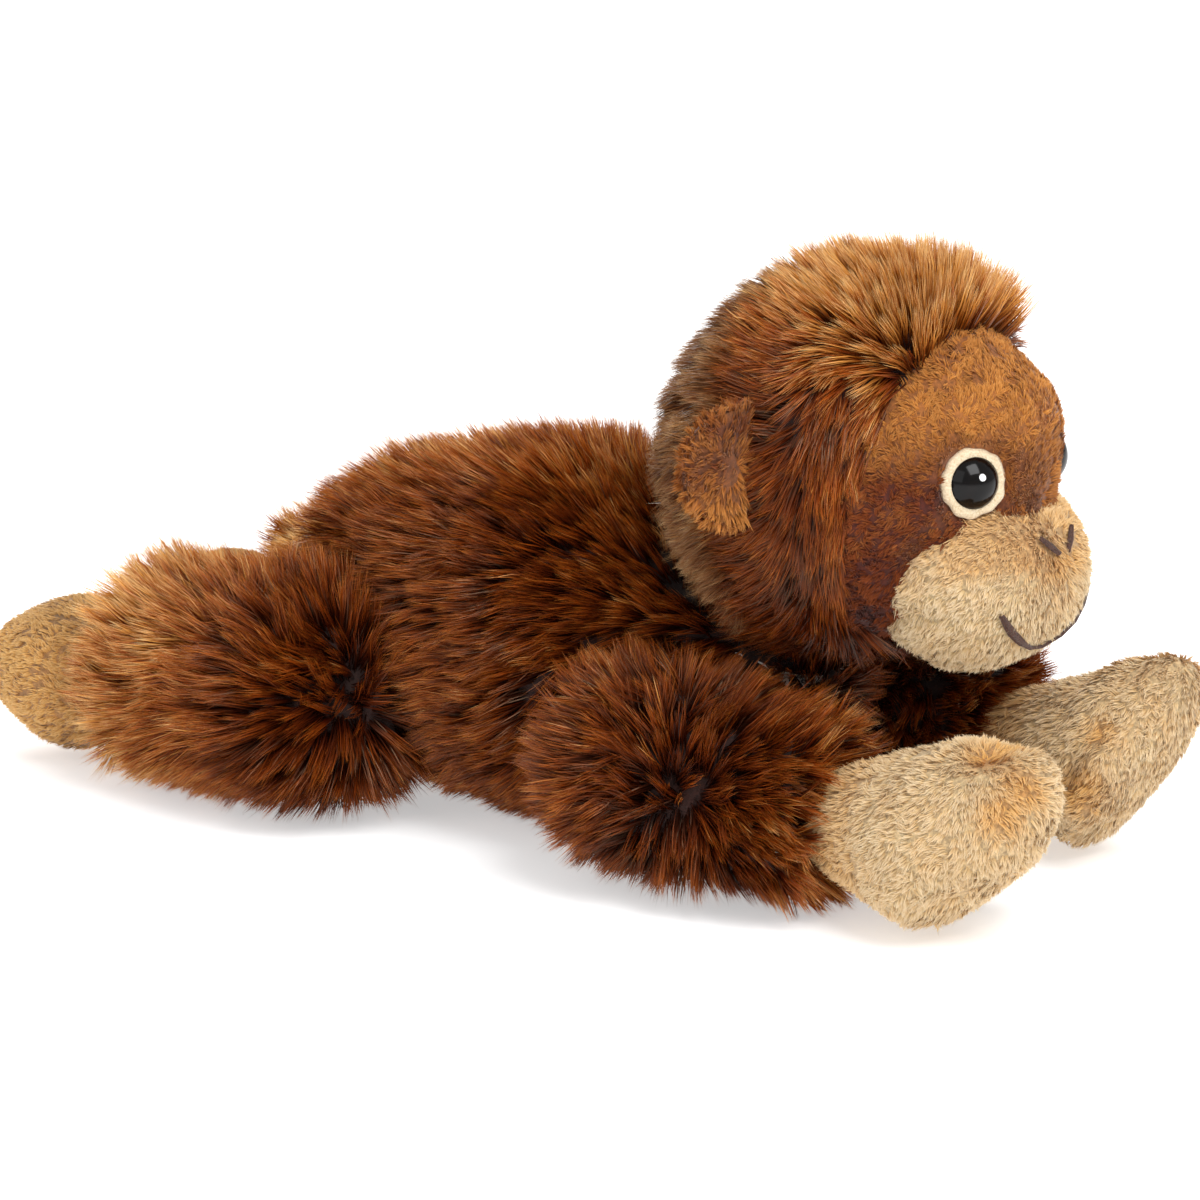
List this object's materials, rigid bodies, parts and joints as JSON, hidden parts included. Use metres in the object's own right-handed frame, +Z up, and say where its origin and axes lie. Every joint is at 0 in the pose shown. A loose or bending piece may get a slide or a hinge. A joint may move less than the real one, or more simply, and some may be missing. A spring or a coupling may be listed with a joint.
{
  "type": "plush toy",
  "caption": "Stuffed plush ape lying on its belly with its head raised, with sewn long-fur panels, short-pile face, hands and feet, and floppy limbs.",
  "frame": {"origin": "on the floor, below the middle of the toy's bounding box", "axes": "-Y the way the toy faces, +X its left side, +Z up"},
  "size_m": [0.1338, 0.323, 0.1463],
  "materials": {
    "long_fur": "long soft pile fur fabric, dark at the roots and golden at the tips",
    "frosted_fur": "long soft pile fur fabric with frosted tips",
    "face_plush": "short brushed pile",
    "cream_plush": "short brushed pile with air-brushed shading",
    "foot_plush": "short brushed pile with air-brushed shading",
    "eye_felt": "thin felt",
    "eye_dome": "glossy moulded plastic",
    "eye_washer": "moulded plastic",
    "thread": "embroidery thread",
    "seam_tape": "gathered seam allowance",
    "stuffing": "polyester fibre fill",
    "pouch_cotton": "plain woven cotton",
    "pellets": "plastic pellets"
  },
  "bodies": {
    "torso": {"torso_back_panel": "long_fur", "torso_belly_panel": "long_fur", "torso_stuffing": "stuffing", "pellet_pouch": "pouch_cotton", "belly_pellets": "pellets", "closing_stitches": "thread"},
    "neck": {"neck_seam": "seam_tape"},
    "head": {"head_hood": "long_fur", "head_back_panel": "frosted_fur", "face_mask": "face_plush", "muzzle_cover": "cream_plush", "chin_panel": "cream_plush", "head_stuffing": "stuffing", "muzzle_stuffing": "stuffing", "nostril_stitches": "thread", "mouth_stitches": "thread", "right_eye_ring": "eye_felt", "left_eye_ring": "eye_felt", "right_eye": "eye_dome", "left_eye": "eye_dome", "right_eye_washer": "eye_washer", "left_eye_washer": "eye_washer"},
    "right_ear": {"right_ear_front": "face_plush", "right_ear_back": "face_plush"},
    "right_shoulder": {"right_shoulder_seam": "seam_tape"},
    "right_arm": {"right_arm_sleeve": "long_fur", "right_arm_stuffing": "stuffing"},
    "right_hand": {"right_hand_back": "cream_plush", "right_hand_palm": "cream_plush", "right_hand_pellets": "pellets"},
    "right_hip": {"right_hip_seam": "seam_tape"},
    "right_leg": {"right_leg_sleeve": "long_fur", "right_leg_stuffing": "stuffing"},
    "right_foot": {"right_foot_top": "foot_plush", "right_foot_sole": "foot_plush", "right_foot_pellets": "pellets"},
    "left_ear": {"left_ear_front": "face_plush", "left_ear_back": "face_plush"},
    "left_shoulder": {"left_shoulder_seam": "seam_tape"},
    "left_arm": {"left_arm_sleeve": "long_fur", "left_arm_stuffing": "stuffing"},
    "left_hand": {"left_hand_back": "cream_plush", "left_hand_palm": "cream_plush", "left_hand_pellets": "pellets"},
    "left_hip": {"left_hip_seam": "seam_tape"},
    "left_leg": {"left_leg_sleeve": "long_fur", "left_leg_stuffing": "stuffing"},
    "left_foot": {"left_foot_top": "foot_plush", "left_foot_sole": "foot_plush", "left_foot_pellets": "pellets"}
  },
  "joints": [
    {"name": "head_nod", "type": "hinge", "parent": "torso", "child": "neck", "pos_m": [0, -0.0835, 0.1], "axis": [-1, 0, 0], "range_deg": [-12, 15]},
    {"name": "head_turn", "type": "hinge", "parent": "neck", "child": "head", "pos_m": [0, -0.0835, 0.1], "axis": [0, -0.5736, 0.8192], "range_deg": [-28, 28]},
    {"name": "right_ear_fold", "type": "hinge", "parent": "head", "child": "right_ear", "pos_m": [-0.04873, -0.07838, 0.106], "axis": [0, 0, -1], "range_deg": [-12, 18]},
    {"name": "right_arm_out", "type": "hinge", "parent": "torso", "child": "right_shoulder", "pos_m": [-0.042, -0.0505, 0.0295], "axis": [0, 0, -1], "range_deg": [-3, 30]},
    {"name": "right_arm_raise", "type": "hinge", "parent": "right_shoulder", "child": "right_arm", "pos_m": [-0.042, -0.0505, 0.0295], "axis": [-1, 0, 0], "range_deg": [-5, 12]},
    {"name": "right_wrist_bend", "type": "hinge", "parent": "right_arm", "child": "right_hand", "pos_m": [-0.039, -0.1085, 0.0235], "axis": [-1, 0, 0], "range_deg": [-8, 20]},
    {"name": "right_leg_out", "type": "hinge", "parent": "torso", "child": "right_hip", "pos_m": [-0.037, 0.0515, 0.031], "axis": [0, 0, 1], "range_deg": [-3, 30]},
    {"name": "right_leg_raise", "type": "hinge", "parent": "right_hip", "child": "right_leg", "pos_m": [-0.037, 0.0515, 0.031], "axis": [1, 0, 0], "range_deg": [-5, 12]},
    {"name": "right_ankle_bend", "type": "hinge", "parent": "right_leg", "child": "right_foot", "pos_m": [-0.031, 0.1165, 0.022], "axis": [1, 0, 0], "range_deg": [-8, 20]},
    {"name": "left_ear_fold", "type": "hinge", "parent": "head", "child": "left_ear", "pos_m": [0.04873, -0.07838, 0.106], "axis": [0, 0, 1], "range_deg": [-12, 18]},
    {"name": "left_arm_out", "type": "hinge", "parent": "torso", "child": "left_shoulder", "pos_m": [0.042, -0.0505, 0.0295], "axis": [0, 0, 1], "range_deg": [-3, 30]},
    {"name": "left_arm_raise", "type": "hinge", "parent": "left_shoulder", "child": "left_arm", "pos_m": [0.042, -0.0505, 0.0295], "axis": [-1, 0, 0], "range_deg": [-5, 12]},
    {"name": "left_wrist_bend", "type": "hinge", "parent": "left_arm", "child": "left_hand", "pos_m": [0.039, -0.1085, 0.0235], "axis": [-1, 0, 0], "range_deg": [-8, 20]},
    {"name": "left_leg_out", "type": "hinge", "parent": "torso", "child": "left_hip", "pos_m": [0.037, 0.0515, 0.031], "axis": [0, 0, -1], "range_deg": [-3, 30]},
    {"name": "left_leg_raise", "type": "hinge", "parent": "left_hip", "child": "left_leg", "pos_m": [0.037, 0.0515, 0.031], "axis": [1, 0, 0], "range_deg": [-5, 12]},
    {"name": "left_ankle_bend", "type": "hinge", "parent": "left_leg", "child": "left_foot", "pos_m": [0.031, 0.1165, 0.022], "axis": [1, 0, 0], "range_deg": [-8, 20]}
  ]
}
